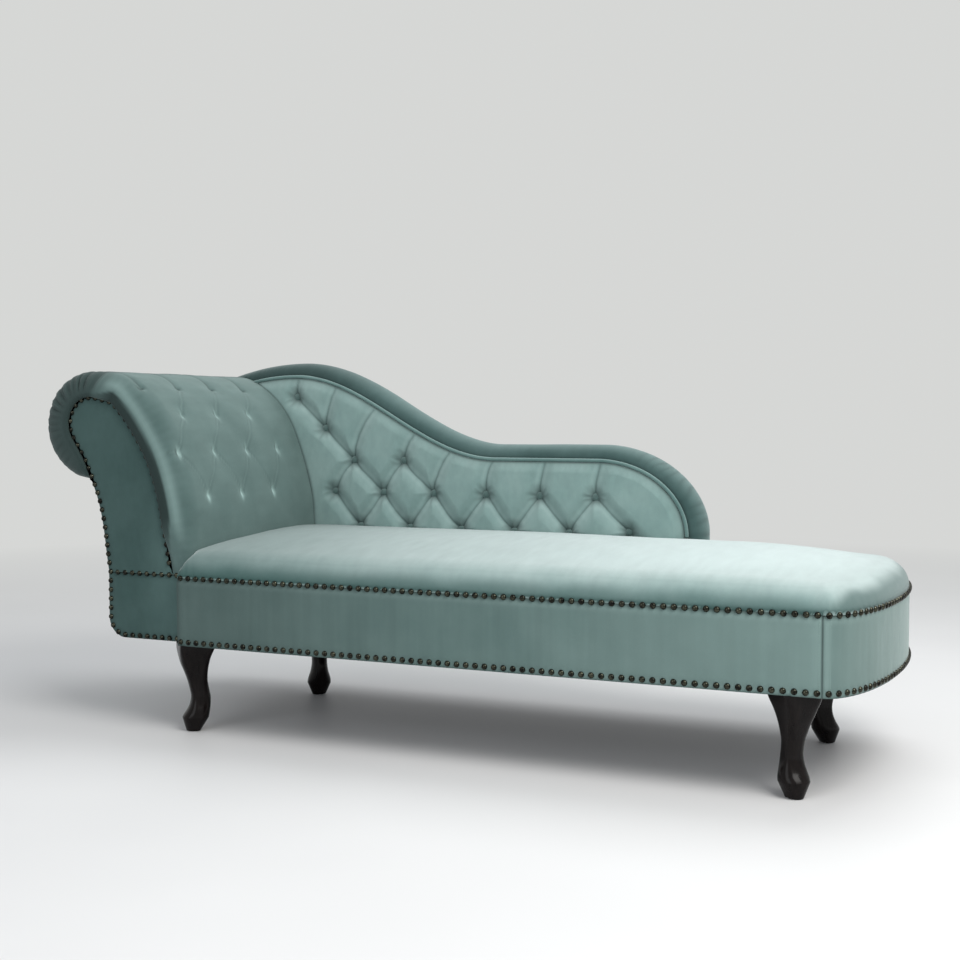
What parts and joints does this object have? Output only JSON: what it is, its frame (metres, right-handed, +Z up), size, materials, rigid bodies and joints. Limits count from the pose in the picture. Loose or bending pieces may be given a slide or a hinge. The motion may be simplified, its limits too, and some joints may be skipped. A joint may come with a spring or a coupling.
{
  "type": "fainting couch",
  "caption": "Velvet fainting couch with a scroll arm, a diamond tufted serpentine back, a crowned seat with a bowed foot end, nail trim and cabriole legs.",
  "frame": {"origin": "on the floor under the middle of the couch's box", "axes": "+X from the scroll arm to the bowed foot end, the front faces -Y, +Z up"},
  "size_m": [1.6959, 0.616, 0.7413],
  "materials": {
    "pine_frame": "planed softwood, unfinished",
    "fibreboard": "thin hardboard, smooth",
    "webbing": "woven jute webbing",
    "foam": "upholstery foam",
    "velvet_tufted": "short pile velvet, pale sage where the pile catches light",
    "velvet_border": "short pile velvet, seen against the pile",
    "velvet_piping": "velvet covered cord",
    "velvet_seat": "short pile velvet, smooth",
    "velvet_base": "short pile velvet, smooth",
    "velvet_arm": "short pile velvet with blind tufts",
    "velvet_rear": "short pile velvet, plain",
    "deck_cloth": "burlap",
    "dust_cloth": "black non-woven cloth",
    "spring_steel": "drawn wire",
    "nail_brass": "antiqued, dark in the hollows",
    "leg_wood": "espresso lacquer, glossy",
    "hardware_steel": "zinc plated",
    "glide_felt": "moulded glide",
    "frame_screw_steel": "zinc plated"
  },
  "bodies": {
    "root": {"front_rail": "pine_frame", "rear_rail": "pine_frame", "foot_rail": "pine_frame", "head_rail": "pine_frame", "cross_rails": "pine_frame", "leg_blocks": "pine_frame", "arm_front_post": "pine_frame", "arm_rear_post": "pine_frame", "arm_stretchers": "pine_frame", "arm_lining": "fibreboard", "back_top_rail": "pine_frame", "back_tack_rail": "pine_frame", "back_uprights": "pine_frame", "back_webbing": "webbing", "back_foam": "foam", "back_cover": "velvet_tufted", "back_border": "velvet_border", "back_piping": "velvet_piping", "back_buttons": "velvet_tufted", "rear_cover": "velvet_rear", "spring_rail": "pine_frame", "seat_springs": "spring_steel", "spring_clips": "spring_steel", "spring_cloth": "deck_cloth", "seat_foam": "foam", "seat_cover": "velvet_seat", "front_cover": "velvet_base", "foot_cover": "velvet_base", "arm_padding": "velvet_arm", "arm_facing": "velvet_arm", "arm_base_cover": "velvet_base", "arm_outer_cover": "velvet_arm", "dust_cover": "dust_cloth", "seat_nails": "nail_brass", "base_nails": "nail_brass", "facing_nails": "nail_brass", "arm_base_nails": "nail_brass", "leg_front_arm": "leg_wood", "leg_front_foot": "leg_wood", "leg_rear_arm": "leg_wood", "leg_rear_foot": "leg_wood", "leg_bolts": "hardware_steel", "t_nuts": "hardware_steel", "foot_glides": "glide_felt", "frame_screws": "frame_screw_steel"}
  },
  "joints": []
}
